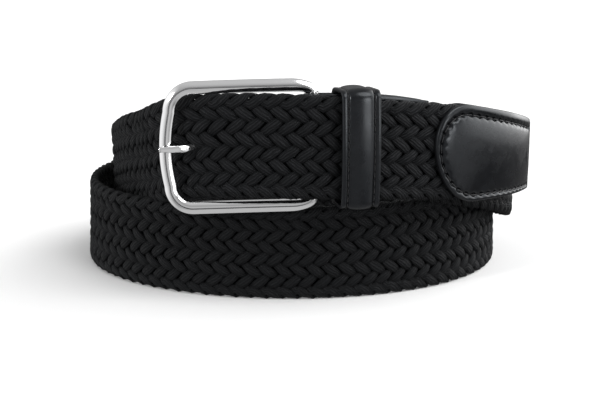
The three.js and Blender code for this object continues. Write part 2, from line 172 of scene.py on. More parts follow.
# Stitches. The shares are of the thread's thickness.
THREAD = 0.5
THREAD_SIDES = 8
STITCH_RINGS = 9
STITCH_SPAN = (0.1, 0.9)  # the share of the way between two holes that shows
STITCH_ARCH = 0.62
STITCH_SUNK = 0.45
STITCH_THIN = 0.55  # at its ends
TIP_THREAD_SUNK = 0.40  # how far below the face the tip's thread starts, in millimetres
TAB_THREAD_SUNK = 0.1
KEEPER_THREAD_AT = 0.84  # over the loop's inside
HOLE_RADIUS = 0.75
HOLE_DEPTH = 1.0

# The coil: angle in degrees, offset outwards from the ellipse, rise above the floor, lean of the top
# edge outwards in degrees, and the strap's width
COIL_HALF = (81.5, 68.0)
STATION_COLUMNS = ("angle", "offset", "rise", "lean", "width")
STATIONS = (
    (20.5, 14, 29.2, 0, 33.3),
    (45, 13.8, 34, 0, 33.3),
    (68, 13.7, 37.3, 0, 34),
    (90, 13.7, 39, 0, 35),
    (104, 12.6, 38.8, 0, 35),
    (114, 9, 36.6, 0, 35),
    (124, 3, 32.1, 0, 35),
    (136, -4, 28.6, 0, 35),
    (158, -10.2, 22.8, 0, 35),
    (180, -10.1, 17.5, 0, 35),
    (225, -7.8, 9.5, 0, 35),
    (270, -5.5, 4, 0, 35),
    (315, -2.4, 0.6, 0, 35),
    (360, 0.4, 0, -2, 35),
    (405, 0.4, 0, 2, 35),
    (450, 0, 0, 8.4, 35),
    (495, 0.2, 0, 5, 35),
    (540, 0.6, 0, -4, 35),
    (585, 1.3, 0.6, 0, 35),
    (630, 3, 3.5, 0, 35),
    (675, 6, 8, 0, 35),
    (720, 7.2, 15, 0, 35),
    (765, 7.8, 30.2, 0, 35),
    (787, 7.8, 37, 0, 35),
    (798, 7.8, 38.4, 0, 35),
    (808, 8, 38.65, 0, 35),
)
COLUMNS = dict(zip(STATION_COLUMNS, np.array(STATIONS, float).T))
BEFORE_END = 2  # degrees of the coil that the tip's skewed corner needs past the strap's end
GRID_STEP = 0.25  # degrees of the coil between the places where the strap's directions are known

UP = np.array([0, 0, 1.0])
rng = np.random.default_rng(7)


# Lengths and directions
def unit(vectors):
    return vectors / np.linalg.norm(vectors, axis=-1, keepdims=True)


def runs(points):
    """How far along a line of points each of them lies."""
    return np.concatenate([[0], np.cumsum(np.linalg.norm(np.diff(points, axis=0), axis=1))])


def between(places, known, values):
    """Rows of values that are known at some places, at other places."""
    return np.stack([np.interp(places, known, values[:, i]) for i in range(values.shape[1])], -1)


def smoothstep(value, low, high):
    t = np.clip((np.asarray(value, float) - low) / (high - low), 0, 1)
    return t * t * (3 - 2 * t)


# The coil's own coordinates
def column(name, angle):
    """One column of the station table at any angles, as a smooth curve through its rows."""
    xs, ys = COLUMNS["angle"], COLUMNS[name]
    rows = np.arange(len(xs))
    before, after = np.maximum(rows - 1, 0), np.minimum(rows + 1, rows[-1])
    slope = (ys[after] - ys[before]) / (xs[after] - xs[before])
    i = np.clip(np.searchsorted(xs, angle) - 1, 0, rows[-1] - 1)
    span = xs[i + 1] - xs[i]
    t = (angle - xs[i]) / span
    bends = slope[i] * t * (1 - t) ** 2 - slope[i + 1] * t * t * (1 - t)
    return ys[i] + (ys[i + 1] - ys[i]) * t * t * (3 - 2 * t) + span * bends


def low_edge(angle):
    """The middle of the strap's low edge."""
    angle = np.asarray(angle, float)
    turn, offset = np.radians(angle), column("offset", angle)
    x = (COIL_HALF[0] + offset) * np.cos(turn)
    y = -(COIL_HALF[1] + offset) * np.sin(turn)
    return np.stack([x, y, np.maximum(column("rise", angle), 0)], -1)


def strap_frame(angle):
    """The strap's low edge and its directions at angles of the coil."""
    angle = np.asarray(angle, float)
    along = unit(low_edge(angle + GRID_STEP) - low_edge(angle - GRID_STEP))
    up = unit(UP - along * along[..., 2:])
    out = np.cross(up, along)
    lean = np.radians(column("lean", angle))[..., None]
    width = (column("width", angle) / STRAP_WIDTH)[..., None]
    return {
        "origin": low_edge(angle),
        "along": along,
        "across": (up * np.cos(lean) + out * np.sin(lean)) * width,
        "proud": out * np.cos(lean) - up * np.sin(lean),
    }


KNOTS = np.arange(STATIONS[0][0] - BEFORE_END, STATIONS[-1][0], 1.0)
LENGTHS = runs(low_edge(KNOTS))
LENGTHS -= LENGTHS[BEFORE_END]
GRID_ANGLES = np.arange(KNOTS[0], KNOTS[-1], GRID_STEP)
GRID = strap_frame(GRID_ANGLES)
GRID_LENGTHS = np.interp(GRID_ANGLES, KNOTS, LENGTHS)
BAR_LENGTH = float(np.interp(BAR_ANGLE, KNOTS, LENGTHS))
BAR = strap_frame(BAR_ANGLE)
STEP_LENGTHS = np.arange(0, BAR_LENGTH, 1.0)
# Crossings of two cords up to each of these lengths
STEPS = np.cumsum(2 / np.interp(STEP_LENGTHS, *np.array(PITCHES).T))


def on_strap(points):
    """Points given as [length from the free end, height, distance proud of the middle], in the coil."""
    points = np.asarray(points, float)
    origin, across, proud = (
        between(points[..., 0], GRID_LENGTHS, GRID[name]) for name in ("origin", "across", "proud")
    )
    return origin + across * points[..., 1:2] + proud * points[..., 2:3]


def in_frame(place, along, across, proud):
    """A point given along, across and proud of one strap frame."""
    moved = place["along"] * np.asarray(along)[..., None]
    moved = moved + place["across"] * np.asarray(across)[..., None]
    return place["origin"] + moved + place["proud"] * np.asarray(proud)[..., None]


# Meshes
class Shape:
    """Points, faces and texture places that gather into one piece."""

    def __init__(self):
        self.points, self.faces, self.places, self.looks, self.total = [], [], [], [], 0

    def add(self, points, faces, places=None, look=0):
        points = np.asarray(points, float).reshape(-1, 3)
        self.points.append(points)
        self.faces += [[k + self.total for k in face] for face in faces]
        self.places += places if places is not None else [[(0, 0)] * len(face) for face in faces]
        self.looks += look if isinstance(look, list) else [look] * len(faces)
        self.total += len(points)

    def loft(self, rings, round_=False, along=None, look=0):
        """A closed surface through rings of points: round on itself, or with a face on each end.
        look is one number, or one for each side of the rings."""
        rings = np.asarray(rings, float)
        steps, count = rings.shape[:2]
        u = np.arange(steps + 1, dtype=float) if along is None else np.append(along, along[-1])
        faces, places, looks = [], [], []
        for i in range(steps if round_ else steps - 1):
            here, ahead = i * count, (i + 1) % steps * count
            for j in range(count):
                k = (j + 1) % count
                faces.append((here + j, here + k, ahead + k, ahead + j))
                low, high = j / count, (j + 1) / count
                places.append(((u[i], low), (u[i], high), (u[i + 1], high), (u[i + 1], low)))
                looks.append(look[j] if isinstance(look, (list, tuple)) else look)
        if not round_:
            for end, order in ((0, 1), ((steps - 1) * count, -1)):
                faces.append(tuple(range(end, end + count))[::order])
                places.append(((0, 0),) * count)
                looks.append(looks[0])
        self.add(rings, faces, places, looks)

    def piece(self, name, slot, materials, replaces=(), sharp=None):
        """The finished mesh, riding on the belt."""
        mesh = coil_mesh(name, np.concatenate(self.points), self.faces, materials)
        mesh.polygons.foreach_set("material_index", self.looks)
        layer = mesh.uv_layers.new(name="length_and_turn")
        layer.data.foreach_set("uv", np.array([p for face in self.places for p in face], np.float32).ravel())
        turn_faces_out(mesh)
        smooth(mesh, sharp)
        dressed(name, mesh, replaces)


def coil_mesh(name, points, faces, materials):
    """A mesh in metres in the row frame, from points of the coil."""
    mesh = bpy.data.meshes.new(name)
    mesh.from_pydata((points + COIL_AT) * MM, [], faces)
    for material in materials:
        mesh.materials.append(material)
    return mesh


def turn_faces_out(mesh):
    work = bmesh.new()
    work.from_mesh(mesh)
    bmesh.ops.recalc_face_normals(work, faces=work.faces)
    work.to_mesh(mesh)
    work.free()


def smooth(mesh, sharp=None):
    """Smooth shading, apart from edges that turn by more than sharp degrees."""
    mesh.polygons.foreach_set("use_smooth", [True] * len(mesh.polygons))
    if sharp is not None:
        mesh.set_sharp_from_angle(angle=math.radians(sharp))


def put(name, data):
    """A new object in the scene."""
    thing = bpy.data.objects.new(name, data)
    bpy.context.scene.collection.objects.link(thing)
    return thing


def dressed(name, mesh, replaces=()):
    piece = put(name, mesh)
    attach(piece, "root")
    if replaces:
        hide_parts(*replaces)
    return piece


# Materials. Places, scales and bump distances in them are in metres.
CORD_DARK = (0.0013, 0.00146, 0.0018)
CORD_PALE = (0.0190, 0.0202, 0.0229)
CORD_TINT = (0.95, 0.97, 1.0, 1.0)
CORD_ROUGH = (0.80, 0.30)
CORD_THREADS = 11  # ridges round a cord
CORD_PAINTED_SHADE_LOW = {"z": (0.030, 0.042), "least": 0.2}  # painted shade low down: heights between which the cords grow paler, from a share of least
CORD_PAINTED_SHADE_LEFT = {"x": (0.012, 0.030), "least": 0.62}  # painted shade on the left: the same, towards the right
LEATHER_TINT = (0.88, 0.94, 1.0, 1.0)
LEATHER_UNEVEN = 0.07  # how much its roughness varies to either side
METAL_ROUGH = (0.07, 0.15)
THREAD_DARK = (0.006, 0.006, 0.007)
THREAD_PALE = (0.02, 0.02, 0.022)
THREAD_ROUGH = (0.6, 0.45)
THREAD_PLIES = 2
THREAD_TWIST = 2.2  # turns for each millimetre


class Nodes:
    """A tree of shader nodes, added one by one."""

    def __init__(self, owner, shader):
        owner.use_nodes = True
        self.tree = owner.node_tree
        self.shader = self.tree.nodes[shader]

    def add(self, kind, inputs=None, **settings):
        node = self.tree.nodes.new(kind)
        for key, value in settings.items():
            setattr(node, key, value)
        for key, value in (inputs or {}).items():
            self.join(node.inputs[key], value)
        return node

    def join(self, socket, value):
        if isinstance(value, bpy.types.NodeSocket):
            self.tree.links.new(socket, value)
        else:
            socket.default_value = value

    def math(self, operation, a, b=0.0):
        return self.add("ShaderNodeMath", {0: a, 1: b}, operation=operation).outputs[0]

    def plus(self, a, b):
        return self.math("ADD", a, b)

    def times(self, a, b):
        return self.math("MULTIPLY", a, b)

    def parts(self, vector):
        return self.add("ShaderNodeSeparateXYZ", {"Vector": vector}).outputs

    def noise(self, vector, scale, detail=2.0, rough=0.5):
        inputs = {"Vector": vector, "Scale": scale, "Detail": detail, "Roughness": rough}
        return self.add("ShaderNodeTexNoise", inputs).outputs["Fac"]

    def ramp(self, value, low, high, least=0.0, most=1.0):
        """From least to most, as value goes from low to high."""
        inputs = {"Value": value, "From Min": low, "From Max": high, "To Min": least, "To Max": most}
        return self.add("ShaderNodeMapRange", inputs).outputs["Result"]

    def blend(self, share, one, other):
        ramp = self.add("ShaderNodeValToRGB", {"Fac": share})
        for stop, colour in zip(ramp.color_ramp.elements, (one, other)):
            stop.color = (*colour, 1)
        return ramp.outputs["Color"]

    def bump(self, height, strength, distance, under=None):
        inputs = {"Height": height, "Strength": strength, "Distance": distance}
        if under is not None:
            inputs["Normal"] = under
        return self.add("ShaderNodeBump", inputs).outputs["Normal"]

    def wear(self, socket, value):
        self.join(self.shader.inputs[socket], value)


class Looks(Nodes):
    """A material's nodes."""

    def __init__(self, name, **values):
        self.material = bpy.data.materials.new(name)
        super().__init__(self.material, "Principled BSDF")
        for socket, value in values.items():
            self.shader.inputs[socket.replace("_", " ")].default_value = value

    def spot(self):
        return self.add("ShaderNodeTexCoord").outputs["Object"]

    def length_and_turn(self):
        """How far along a cord or thread a point lies, and how far round it."""
        place = self.parts(self.add("ShaderNodeUVMap", uv_map="length_and_turn").outputs["UV"])
        return place["X"], place["Y"]


def cord_material():
    """Flat cord of parallel threads, nearly black with a cold tint; painted shade darkens its lower turn and
    its left side, and painted sheen lightens its threads.
    """
    look = Looks("cord", IOR=1.45, Specular_IOR_Level=0.23, Specular_Tint=CORD_TINT)
    length, turn = look.length_and_turn()
    spot = look.spot()
    wound = look.plus(turn, look.times(look.noise(spot, scale=300.0), 0.10))
    ridges = look.math("SINE", look.times(wound, 2 * math.pi * CORD_THREADS))
    stretched = look.add("ShaderNodeCombineXYZ", {"X": look.times(length, 0.45), "Y": look.times(wound, 40.0)})
    fibres = look.noise(stretched.outputs["Vector"], scale=1.0, detail=3.0, rough=0.6)
    height = look.plus(look.times(ridges, 0.22), fibres)
    look.wear("Normal", look.bump(height, strength=0.9, distance=0.00042))
    # Paler, glossier streaks where the threads stand highest, with darker grooves between: painted sheen and
    # shade over the fibres' own random tone
    sheen_on_crests = look.ramp(height, 0.45, 0.95)
    patch = look.ramp(look.noise(spot, scale=90.0, detail=3.0), 0.3, 0.7, least=0.45)
    at = look.parts(spot)
    # Painted shade: the cords are darker low down, in the lower turn
    tint = look.times(look.times(sheen_on_crests, patch), look.ramp(at["Z"], *CORD_PAINTED_SHADE_LOW["z"], CORD_PAINTED_SHADE_LOW["least"]))
    # Painted shade: the cords are darker to the left and paler towards the right, where the light falls
    tint = look.times(tint, look.ramp(at["X"], *CORD_PAINTED_SHADE_LEFT["x"], CORD_PAINTED_SHADE_LEFT["least"]))
    look.wear("Base Color", look.blend(tint, CORD_DARK, CORD_PALE))
    look.wear("Roughness", look.ramp(sheen_on_crests, 0.0, 1.0, *CORD_ROUGH))
    return look.material


def leather_material(name, dark, pale, roughness, coat):
    """Smooth finished leather: fine pores, soft creases, slight wear of the finish."""
    look = Looks(
        name,
        IOR=1.5,
        Specular_IOR_Level=0.28,
        Specular_Tint=LEATHER_TINT,
        Coat_Weight=coat,
        Coat_Roughness=0.16,
    )
    spot = look.spot()
    cells = look.add("ShaderNodeTexVoronoi", {"Vector": spot, "Scale": 2100.0}, feature="SMOOTH_F1")
    pores = look.ramp(cells.outputs["Distance"], 0.0, 0.6)
    creases = look.noise(spot, scale=420.0, detail=4.0, rough=0.6)
    soft = look.noise(spot, scale=55.0)
    fine = look.bump(look.plus(look.times(pores, 0.35), creases), strength=0.22, distance=0.00012)
    look.wear("Normal", look.bump(soft, strength=0.18, distance=0.0012, under=fine))
    look.wear("Base Color", look.blend(look.ramp(creases, 0.35, 0.7), dark, pale))
    worn = look.noise(spot, scale=160.0, detail=3.0)
    look.wear("Roughness", look.ramp(worn, 0.3, 0.7, roughness - LEATHER_UNEVEN, roughness + LEATHER_UNEVEN))
    return look.material


def metal_material(name, dark, light):
    """Polished metal with faint hairlines."""
    look = Looks(name, Metallic=1.0)
    spot = look.spot()
    long_ways = look.add("ShaderNodeMapping", {"Vector": spot, "Scale": (300.0, 2600.0, 2600.0)})
    hairs = look.noise(long_ways.outputs["Vector"], scale=1.0, detail=3.0, rough=0.6)
    look.wear("Base Color", look.blend(look.noise(spot, scale=120.0), dark, light))
    look.wear("Roughness", look.ramp(hairs, 0.3, 0.75, *METAL_ROUGH))
    look.wear("Normal", look.bump(hairs, strength=0.04, distance=0.00005))
    return look.material


def thread_material():
    """Twisted waxed thread."""
    look = Looks("thread", IOR=1.5, Specular_IOR_Level=0.35)
    length, turn = look.length_and_turn()
    twist = look.plus(look.times(length, THREAD_TWIST), turn)
    ply = look.math("SINE", look.times(twist, 2 * math.pi * THREAD_PLIES))
    look.wear("Normal", look.bump(ply, strength=0.6, distance=0.00008))
    # Plies paler on their crests and darker in the grooves between them: painted sheen and shade
    look.wear("Base Color", look.blend(look.ramp(ply, -1, 1), THREAD_DARK, THREAD_PALE))
    look.wear("Roughness", look.ramp(ply, -1, 1, *THREAD_ROUGH))
    return look.material


CORD_LOOK = cord_material()
# Near-black, matt sheet inside the braid: painted shade between the cords
SHADE_SHEET_LOOK = Looks(
    "braid_painted_shade", Base_Color=(0.002, 0.002, 0.0022, 1), Roughness=1.0, Specular_IOR_Level=0.0
).material
LEATHER_LOOK = leather_material(
    "smooth_leather", dark=(0.0022, 0.0024, 0.0031), pale=(0.0046, 0.0049, 0.0061), roughness=0.27, coat=0.10
)
EDGE_LOOK = leather_material(
    "edge_paint", dark=(0.003, 0.003, 0.0036), pale=(0.005, 0.005, 0.006), roughness=0.5, coat=0.02
)
METAL_LOOK = metal_material("polished_metal", dark=(0.80, 0.80, 0.81), light=(0.86, 0.86, 0.865))
# Darker metal for the faces in the rail's groove: painted shade
GROOVE_PAINTED_SHADE_LOOK = metal_material("metal_painted_shade_in_groove", dark=(0.50, 0.50, 0.505), light=(0.58, 0.58, 0.585))
THREAD_LOOK = thread_material()


# The braid
def cord_height(line):
    """Height of a cord at a crossing line, drawn in where it turns at an edge of the strap."""
    row = STRAP_WIDTH / BRAID_ROWS
    upper = np.maximum(line, CORDS - line)
    last_row = STRAP_WIDTH - row
    reach = row - CORD_THICK / 2 + EDGE_PROUD
    power = BUNCHED_LINES * row / 2 / reach
    near = np.clip((upper - CORDS + BUNCHED_LINES) / BUNCHED_LINES, 0, 1)
    height = np.where(near > 0, last_row + reach * (1 - (1 - near) ** power), (upper / 2 - 0.25) * row)
    return np.where(line > CORDS / 2, height, STRAP_WIDTH - height)


def cord_swing(on):
    """From 1, on top, to -1, beneath, as a cord crosses from one edge of the strap to the other."""
    quarter = np.pi / 2
    wave = np.cos((on - RISE_LINES) * quarter)
    start = np.sin(np.clip(on / RISE_LINES, 0, 1) * quarter)
    end = -np.sin(np.clip((CORDS - on) / RISE_LINES, 0, 1) * quarter)
    swing = np.where(on < RISE_LINES, start, np.where(on > CORDS - RISE_LINES, end, wave))
    return swing * (1 + SWING_FLATNESS - SWING_FLATNESS * swing**2)


def cord_turn(phase):
    """The turn of a cord's flat side about its length, which folds it round each edge of the strap."""
    beside = (phase + CORDS / 2) % (2 * CORDS) - CORDS / 2
    low = 270 - 180 * smoothstep(beside, -TURN_LINES, TURN_LINES)
    high = 90 + 180 * smoothstep(beside - CORDS, -TURN_LINES, TURN_LINES)
    return np.radians(np.where(beside < CORDS / 2, low, high))


def round_prong(places):
    """Cords stand aside where the prong comes through."""
    length = (places[:, 0] - PRONG_HOLE["length"]) / PRONG_HOLE["reach"]
    height = places[:, 1] - PRONG_HOLE["height"]
    near = np.exp(-(length**2) - (height / PRONG_HOLE["reach"]) ** 2)
    places[:, 1] += PRONG_HOLE["push"] * np.tanh(height / PRONG_HOLE["core"]) * near


def cord_line(index):
    """One cord's middle line in strap coordinates, its swing from on top to beneath, and its own turn."""
    first, last = np.interp([STRAP_START, BAR_LENGTH - STRAP_STOP], STEP_LENGTHS, STEPS)
    steps = np.linspace(first, last, int((last - first) * RINGS_PER_LINE))
    phase = (steps - 2 * index) % (2 * CORDS)
    line = np.where(phase < CORDS, phase, 2 * CORDS - phase)
    length = np.interp(steps, STEPS, STEP_LENGTHS)
    drift = rng.uniform(0, 2 * np.pi, 5)
    wander = [WANDER * np.sin(length / wave + start) for wave, start in zip(WANDER_WAVES, drift)]
    swing = cord_swing(phase % CORDS)
    places = np.stack([length, cord_height(line), CORD_SWING * swing], -1)
    inner = smoothstep(np.minimum(line, CORDS - line), 0, BUNCHED_LINES)
    places[:, 0] += wander[0] + wander[1]
    places[:, 1] += (wander[2] + wander[3]) * inner
    pressed = smoothstep(length, *PRESSED["from"]) - smoothstep(length, *PRESSED["to"])
    places[:, 1] += PRESSED["spread"] * pressed * (places[:, 1] * 2 / STRAP_WIDTH - 1)
    round_prong(places)
    return places, swing, cord_turn(phase) + TWIST * np.sin(length / TWIST_WAVE + drift[4])


def cord_rings(index):
    """The rings of one cord's section, in strap coordinates, and how far along the cord they lie."""
    places, swing, turn = cord_line(index)
    along = unit(np.gradient(places, axis=0))
    flat = np.stack([np.zeros_like(turn), np.cos(turn), np.sin(turn)], -1)
    flat = unit(flat - along * (flat * along).sum(-1, keepdims=True))
    side = np.cross(along, flat)
    around = np.arange(CORD_SIDES) * 2 * np.pi / CORD_SIDES
    power = 2 / CORD_SQUARENESS
    size = (1 - CORD_NARROWING * (1 - swing**2))[:, None, None] / 2
    wide = np.sign(np.cos(around)) * np.abs(np.cos(around)) ** power * CORD_WIDTH
    thick = np.sign(np.sin(around)) * np.abs(np.sin(around)) ** power * CORD_THICK
    rings = places[:, None] + (side[:, None] * wide[:, None] + flat[:, None] * thick[:, None]) * size
    return rings, np.cumsum(np.linalg.norm(np.gradient(places, axis=0), axis=1))


def braid():
    """The cords, shared out over a few pieces, and the dark sheet of painted shade that closes the gaps between
    them.
    """
    shapes = [Shape() for _ in range(CORD_PIECES)]
    for index in range(CORDS):
        rings, along = cord_rings(index)
        shapes[index % CORD_PIECES].loft(on_strap(rings), along=along + FIBRE_STEP * index)
    # A sheet inside the braid, dark with painted shade, to show between the cords
    lengths = np.arange(STRAP_START + SHADE_SHEET_END, BAR_LENGTH - STRAP_STOP - SHADE_SHEET_END, SHADE_SHEET_STEP)
    low, high = SHADE_SHEET_INSET, STRAP_WIDTH - SHADE_SHEET_INSET
    corners = ((low, -1), (high, -1), (high, 1), (low, 1))
    rings = [[(length, height, side * SHADE_SHEET_THICK / 2) for height, side in corners] for length in lengths]
    shapes[0].loft(on_strap(rings), look=1)
    for number, shape in enumerate(shapes, 1):
        shape.piece(f"braid_cords_{number}", "braid_cord", [CORD_LOOK, SHADE_SHEET_LOOK], ["braided_strap"])


# Stitches
def holes_along(run, pitch):
    """Places of needle holes about a pitch apart, from one end of a line to the other."""
    return np.linspace(0, run[-1], max(1, int(round(run[-1] / pitch))) + 1)


def pits(far):
    """How deep the leather is drawn in, at distances from the nearest needle hole."""
    return HOLE_DEPTH * np.exp(-((far / HOLE_RADIUS) ** 2))


def stitch_row(shape, points, outs, pitch):
    """Thread between holes a pitch apart along a line of points, with outs pointing out of the leather."""
    run = runs(points)
    holes = holes_along(run, pitch)
    sides = np.arange(THREAD_SIDES) * 2 * np.pi / THREAD_SIDES
    t = np.linspace(*STITCH_SPAN, STITCH_RINGS)
    arch = np.sin(np.pi * t) ** 0.5
    lift = THREAD * (STITCH_ARCH * arch - STITCH_SUNK)
    size = THREAD / 2 * (STITCH_THIN + (1 - STITCH_THIN) * arch)
    for start, end in zip(holes[:-1], holes[1:]):
        length = start + (end - start) * t
        out = unit(between(length, run, outs))
        middle = between(length, run, points) + out * lift[:, None]
        side = np.cross(unit(np.gradient(middle, axis=0)), out)
        ring = np.cos(sides)[:, None] * side[:, None] + np.sin(sides)[:, None] * out[:, None]
        shape.loft(middle[:, None] + ring * size[:, None, None], along=length)


# Leather tip. Each row of its section is the inset from the edge, the height over the leather's face, and the
# share of that height which only shows where the tip is sewn.
TIP_SECTION = (
    (0.0, -0.75, 0), (0.06, -0.42, 0), (0.25, -0.14, 0), (0.55, 0.05, 0), (1.0, 0.18, 0), (1.5, 0.22, 0),
    (2.0, 0.12, 0), (2.4, -0.1, 1), (2.75, -0.36, 1), (TIP_STITCH_INSET, -0.46, 1), (3.4, -0.36, 1),
    (3.7, -0.14, 1), (4.0, 0.02, 0.4), (4.4, 0.14, 0), (5.2, 0.24, 0), (6.5, 0.3, 0), (8, 0.34, 0),
    (10, 0.36, 0), (12.5, 0.37, 0),
)


def tip_half_outline(inset):
    """Upper half of the tip's outline, [length, height from the middle], an inset inside its edge,
    from the middle of the end to the middle of the mouth."""
    end_half, full_half = TIP_END_HALF - inset, TIP_FULL_HALF - inset
    corner = max(TIP_CORNER - inset, TIP_LEAST_CORNER)
    end = [(inset, t * (end_half - corner)) for t in np.linspace(0, 1, TIP_COUNTS["end"], endpoint=False)]
    turn = np.radians(np.linspace(180, 90, TIP_COUNTS["corner"], endpoint=False))
    arc = np.stack([inset + corner * (1 + np.cos(turn)), end_half - corner + corner * np.sin(turn)], -1)
    slope = np.linspace(0, 1, TIP_COUNTS["side"], endpoint=False)[:, None]
    side = (1 - slope) * (inset + corner, end_half) + slope * (TIP_TAPER, full_half)
    reach = TIP_LENGTH - TIP_TAPER - inset * TIP_MOUTH_INSET
    m = np.sin(np.linspace(0, np.pi / 2, TIP_COUNTS["mouth"])) ** TIP_MOUTH_CURVE["spacing"]
    mouth = full_half * (1 - m ** TIP_MOUTH_CURVE["along"]) ** (1 / TIP_MOUTH_CURVE["across"])
    return np.concatenate([end, arc, side, np.stack([TIP_TAPER + reach * m, mouth], -1)])


def tip_ring(inset):
    """The whole outline, without doubling the two points on the middle line."""
    upper = tip_half_outline(inset)
    ring = np.concatenate([upper, upper[-2:0:-1] * (1, -1)])
    drop = np.interp(ring[:, 0], (0, TIP_LENGTH), (TIP_SEAM_DROP["end"], TIP_SEAM_DROP["mouth"]))
    ring[:, 1] -= drop * min(inset / TIP_STITCH_INSET, 1)
    return ring


def tip_surface(outline):
    """Height of the tip's face above the strap's middle."""
    full = STRAP_THICK / 2 + GAP + LEATHER
    height = TIP_END_THICK / 2 + (full - TIP_END_THICK / 2) * smoothstep(outline[:, 0], *TIP_FILLED)
    across = np.abs(outline[:, 1]) / (TIP_FULL_HALF - TIP_STITCH_INSET)
    along = np.abs(outline[:, 0] - TIP_LENGTH / 2) / (TIP_LENGTH / 2 - 1)
    return height + TIP_CROWN * (1 - np.clip(across, 0, 1) ** 2) * (1 - np.clip(along, 0, 1) ** 4)


def tip_place(outline, proud):
    """From the tip's own outline to the coil, with the skew that its mouth has."""
    length = outline[:, 0] + TIP_SKEW / TIP_FULL_HALF * outline[:, 1]
    return on_strap(np.stack([length, STRAP_WIDTH / 2 + outline[:, 1], proud], -1))


def groove_share(outline):
    """How much of the stitch line's depth and padding shows: less along the lower side."""
    return 1 - TIP_LOWER_FLAT * smoothstep(-outline[:, 1], *TIP_LOWER_FROM)


def tip_stitch_line():
    """The sewn part of the stitch line, and how far along it each point lies."""
    line = tip_ring(TIP_STITCH_INSET)
    sewn = line[line[:, 0] > TIP_STITCH_INSET + TIP_SEWN_FROM]
    return sewn, runs(sewn)


def tip_rings(edge):
    """Rings of points from the middle of one face, over the edge and the pocket, to the middle of the other."""
    sewn, run = tip_stitch_line()
    holes = between(holes_along(run, TIP_STITCH_PITCH), run, sewn)
    stitched = smoothstep(edge[:, 0], *TIP_SEAM_FROM)
    faces = []
    for inset, lift, sewn_only in TIP_SECTION:
        outline = tip_ring(inset)
        raised = lift * (1 - sewn_only * (1 - stitched))
        raised *= groove_share(outline) if inset > TIP_PADDED_FROM else 1
        far = np.linalg.norm(outline[:, None] - holes[None], axis=-1).min(1)
        faces.append((outline, tip_surface(outline) + raised - pits(far) * (inset > TIP_PITTED_FROM)))
    mouth = smoothstep(edge[:, 0], *TIP_OPENS)
    gap = SEAM["half_gap"] + (STRAP_THICK / 2 + POCKET["side_gap"] - SEAM["half_gap"]) * mouth
    depth = SEAM["depth"] + (POCKET["depth"] - SEAM["depth"]) * mouth
    inner = edge + (tip_ring(TIP_STITCH_INSET) - edge) / TIP_STITCH_INSET * depth[:, None]
    inner_gap = gap * POCKET["narrowing"]
    rings = [tip_place(outline, proud) for outline, proud in faces[::-1]]
    rings += [tip_place(edge, gap), tip_place(inner, inner_gap)]
    rings += [tip_place(inner, -inner_gap), tip_place(edge, -gap)]
    return np.array(rings + [tip_place(outline, -proud) for outline, proud in faces])


def leather_tip():
    """Two leaves of leather sewn together round the strap's end, open at the mouth."""
    shape, threads = Shape(), Shape()
    edge = tip_ring(0.0)
    rings = tip_rings(edge)
    steps, count, half = len(rings) - 1, len(edge), len(tip_half_outline(0.0))
    faces, looks = [], []
    for i in range(steps):
        painted = abs(i + 0.5 - steps / 2) < TIP_PAINTED
        here, ahead = i * count, (i + 1) * count
        for j in range(count):
            k = (j + 1) % count
            faces.append((here + j, here + k, ahead + k, ahead + j))
            looks.append(int(painted))
    for start in (0, steps * count):
        for j in range(half - 1):
            across = [start + j, start + j + 1, start + (count - j - 1) % count, start + (count - j) % count]
            faces.append(tuple(dict.fromkeys(across)))
            looks.append(0)
    shape.add(rings, faces, None, looks)
    shape.piece("leather_tip_sheath", "smooth_leather", [LEATHER_LOOK, EDGE_LOOK], ["leather_tip"])
    sewn, run = tip_stitch_line()
    path = between(np.linspace(0, 1, TIP_STITCH_POINTS) * run[-1], run, sewn)
    for side in (1, -1):
        height = tip_surface(path) - TIP_THREAD_SUNK * groove_share(path)
        points = tip_place(path, side * height)
        outs = unit(tip_place(path, side * (height + 1)) - points)
        stitch_row(threads, points, outs, TIP_STITCH_PITCH)
    threads.piece("tip_stitches", "smooth_leather", [THREAD_LOOK])


# Keeper loop
def keeper_section():
    """The loop's section: the place along the strap, the height over the loop's inside, and the look, which
    is 0 for leather and 1 for painted edge."""
    half, line = KEEPER_LENGTH / 2, KEEPER_STITCH_LINE
    left = [
        (-half, 0.25, 1), (-half, 0.75, 1), (-half + 0.12, 1.02, 1), (-half + 0.4, 1.16, 0),
        (-half + 0.8, 1.2, 0), (-line - 0.6, 1.2, 0), (-line - 0.3, 0.95, 0), (-line, 0.8, 0),
        (-line + 0.3, 0.95, 0), (-line + 0.6, 1.25, 0), (-line + 1, 1.45, 0), (-2.6, 1.68, 0),
        (-1.6, 1.84, 0), (-0.7, 1.91, 0), (0, 1.93, 0),
    ]
    right = [(-along, lift, left[max(k - 1, 0)][2]) for k, (along, lift, _) in enumerate(left)][-2::-1]
    return left + right + [(half - 0.25, 0, 0), (0, 0, 0), (-half + 0.25, 0, 0)]


def keeper_frame():
    place = strap_frame(KEEPER_ANGLE)
    place["across"] = UP
    place["along"] = unit(place["along"] * (1, 1, 0))
    place["proud"] = np.cross(UP, place["along"])
    return place


def keeper_path():
    """Points round the loop's inside and the directions out of it, [across, proud]."""
    low, high, back, front = (KEEPER_WINDOW[key] for key in ("low", "high", "back", "front"))
    middle = np.array([(low + high) / 2, (back + front) / 2])
    half = np.array([(high - low) / 2, (front - back) / 2]) - KEEPER_RADIUS
    points, outs = [], []
    corners = ((1, 1), (-1, 1), (-1, -1), (1, -1))
    for quarter, sides in enumerate(corners):
        for turn in np.radians(np.linspace(90 * quarter, 90 * quarter + 90, KEEPER_CORNER_STEPS)):
            out = np.array([np.cos(turn), np.sin(turn)])
            points.append(middle + half * sides + KEEPER_RADIUS * out)
            outs.append(out)
        ahead = middle + half * corners[(quarter + 1) % 4] + KEEPER_RADIUS * outs[-1]
        here = points[-1]
        count = int(np.linalg.norm(ahead - here) / KEEPER_STEP)
        for t in np.arange(1, count) / count:
            points.append(here + (ahead - here) * t)
            outs.append(outs[-1])
    return np.array(points), np.array(outs)


